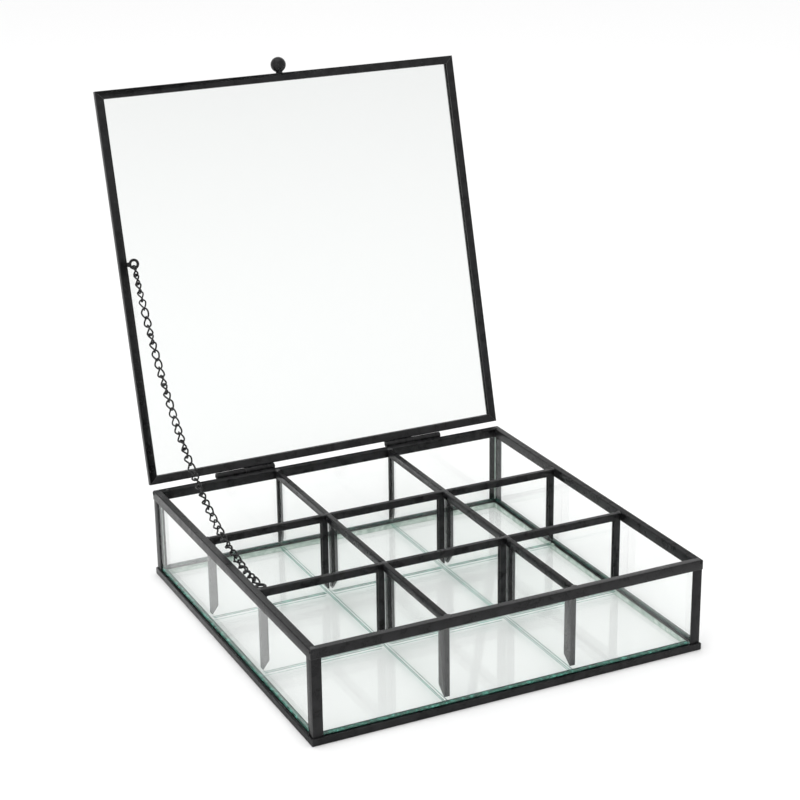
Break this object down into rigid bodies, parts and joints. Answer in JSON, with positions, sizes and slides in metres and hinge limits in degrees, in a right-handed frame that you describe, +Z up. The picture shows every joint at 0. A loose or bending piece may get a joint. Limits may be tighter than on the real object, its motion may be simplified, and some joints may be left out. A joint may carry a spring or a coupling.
{
  "type": "tea bag organizer box",
  "caption": "Flat square box of clear glass panes in black metal channel, with divider panes forming a grid of compartments and a framed glass lid held open by a curb chain.",
  "frame": {"origin": "on the table, under the middle of the front tray rail", "axes": "+Z up, +Y from the box's front to the hinges at its back, +X to the right of someone facing the front"},
  "size_m": [0.2418, 0.3138, 0.3008],
  "materials": {
    "frame_metal": "satin black patina",
    "fitting_metal": "satin black patina",
    "chain_metal": "black patina, worn brighter",
    "clear_glass": "clear, with green cut edges"
  },
  "bodies": {
    "base": {"floor_glass": "clear_glass", "tray_rail_front": "frame_metal", "tray_rail_right": "frame_metal", "tray_rail_back": "frame_metal", "tray_rail_left": "frame_metal", "post_front_left": "frame_metal", "post_front_right": "frame_metal", "post_back_right": "frame_metal", "post_back_left": "frame_metal", "wall_glass_front": "clear_glass", "wall_glass_right": "clear_glass", "wall_glass_back": "clear_glass", "wall_glass_left": "clear_glass", "top_rail_front": "frame_metal", "top_rail_right": "frame_metal", "top_rail_back": "frame_metal", "top_rail_left": "frame_metal", "long_divider_left_glass": "clear_glass", "long_divider_left_frame": "frame_metal", "long_divider_right_glass": "clear_glass", "long_divider_right_frame": "frame_metal", "short_divider_front_left_glass": "clear_glass", "short_divider_front_left_frame": "frame_metal", "short_divider_front_middle_glass": "clear_glass", "short_divider_front_middle_frame": "frame_metal", "short_divider_front_right_glass": "clear_glass", "short_divider_front_right_frame": "frame_metal", "short_divider_back_left_glass": "clear_glass", "short_divider_back_left_frame": "frame_metal", "short_divider_back_middle_glass": "clear_glass", "short_divider_back_middle_frame": "frame_metal", "short_divider_back_right_glass": "clear_glass", "short_divider_back_right_frame": "frame_metal", "hinge_left_base_knuckle": "fitting_metal", "hinge_left_pin": "fitting_metal", "hinge_right_base_knuckle": "fitting_metal", "hinge_right_pin": "fitting_metal", "base_eyelet": "fitting_metal"},
    "lid": {"lid_rail_front": "frame_metal", "lid_rail_right": "frame_metal", "lid_rail_back": "frame_metal", "lid_rail_left": "frame_metal", "lid_glass": "clear_glass", "lid_knob": "fitting_metal", "lid_eyelet": "fitting_metal", "hinge_left_lid_knuckle": "fitting_metal", "hinge_right_lid_knuckle": "fitting_metal"},
    "chain_1": {"chain_1": "chain_metal"},
    "chain_2": {"chain_2": "chain_metal"},
    "chain_3": {"chain_3": "chain_metal"},
    "chain_4": {"chain_4": "chain_metal"},
    "chain_5": {"chain_5": "chain_metal"},
    "chain_6": {"chain_6": "chain_metal"},
    "chain_7": {"chain_7": "chain_metal"},
    "chain_8": {"chain_8": "chain_metal"},
    "chain_9": {"chain_9": "chain_metal"},
    "chain_10": {"chain_10": "chain_metal"},
    "chain_11": {"chain_11": "chain_metal"},
    "chain_12": {"chain_12": "chain_metal"}
  },
  "joints": [
    {"name": "lid_hinge", "type": "hinge", "parent": "base", "child": "lid", "pos_m": [0, 0.24055, 0.0566], "axis": [1, 0, 0], "range_deg": [0, 105]},
    {"name": "chain_1_bend", "type": "hinge", "parent": "lid", "child": "chain_1", "pos_m": [-0.11215, 0.27354, 0.18763], "axis": [1, 0, 0], "range_deg": [-99.4, 0]},
    {"name": "chain_2_bend", "type": "hinge", "parent": "chain_1", "child": "chain_2", "pos_m": [-0.11215, 0.26295, 0.17036], "axis": [1, 0, 0], "range_deg": [0, 117.2]},
    {"name": "chain_3_bend", "type": "hinge", "parent": "chain_2", "child": "chain_3", "pos_m": [-0.11215, 0.24752, 0.14791], "axis": [1, 0, 0], "range_deg": [0, 113.2]},
    {"name": "chain_4_bend", "type": "hinge", "parent": "chain_3", "child": "chain_4", "pos_m": [-0.11215, 0.23682, 0.13407], "axis": [1, 0, 0], "range_deg": [-100, 0]},
    {"name": "chain_5_bend", "type": "hinge", "parent": "chain_4", "child": "chain_5", "pos_m": [-0.11215, 0.21492, 0.1098], "axis": [1, 0, 0], "range_deg": [-112.1, 0]},
    {"name": "chain_6_bend", "type": "hinge", "parent": "chain_5", "child": "chain_6", "pos_m": [-0.11215, 0.20702, 0.10229], "axis": [1, 0, 0], "range_deg": [-30.4, 0]},
    {"name": "chain_7_bend", "type": "hinge", "parent": "chain_6", "child": "chain_7", "pos_m": [-0.11215, 0.18587, 0.08513], "axis": [1, 0, 0], "range_deg": [-30.9, 0]},
    {"name": "chain_8_bend", "type": "hinge", "parent": "chain_7", "child": "chain_8", "pos_m": [-0.11215, 0.17317, 0.07678], "axis": [1, 0, 0], "range_deg": [0, 66.7]},
    {"name": "chain_9_bend", "type": "hinge", "parent": "chain_8", "child": "chain_9", "pos_m": [-0.11215, 0.16846, 0.07404], "axis": [1, 0, 0], "range_deg": [0, 107.5]},
    {"name": "chain_10_bend", "type": "hinge", "parent": "chain_9", "child": "chain_10", "pos_m": [-0.11215, 0.1528, 0.06624], "axis": [1, 0, 0], "range_deg": [-107.6, 0]},
    {"name": "chain_11_bend", "type": "hinge", "parent": "chain_10", "child": "chain_11", "pos_m": [-0.11215, 0.14266, 0.06224], "axis": [1, 0, 0], "range_deg": [-76.6, 0]},
    {"name": "chain_12_bend", "type": "hinge", "parent": "chain_11", "child": "chain_12", "pos_m": [-0.11215, 0.11629, 0.05551], "axis": [1, 0, 0], "range_deg": [-38, 0]}
  ],
  "couplings": [
    {"joint": "chain_1_bend", "follows": "lid_hinge", "ratio": -0.94488},
    {"joint": "chain_2_bend", "follows": "lid_hinge", "ratio": 1.1144},
    {"joint": "chain_3_bend", "follows": "lid_hinge", "ratio": 1.0766},
    {"joint": "chain_4_bend", "follows": "lid_hinge", "ratio": -0.9508},
    {"joint": "chain_5_bend", "follows": "lid_hinge", "ratio": -1.0663},
    {"joint": "chain_6_bend", "follows": "lid_hinge", "ratio": -0.28772},
    {"joint": "chain_7_bend", "follows": "lid_hinge", "ratio": -0.29305},
    {"joint": "chain_8_bend", "follows": "lid_hinge", "ratio": 0.63367},
    {"joint": "chain_9_bend", "follows": "lid_hinge", "ratio": 1.0228},
    {"joint": "chain_10_bend", "follows": "lid_hinge", "ratio": -1.0232},
    {"joint": "chain_11_bend", "follows": "lid_hinge", "ratio": -0.72784},
    {"joint": "chain_12_bend", "follows": "lid_hinge", "ratio": -0.36082}
  ]
}
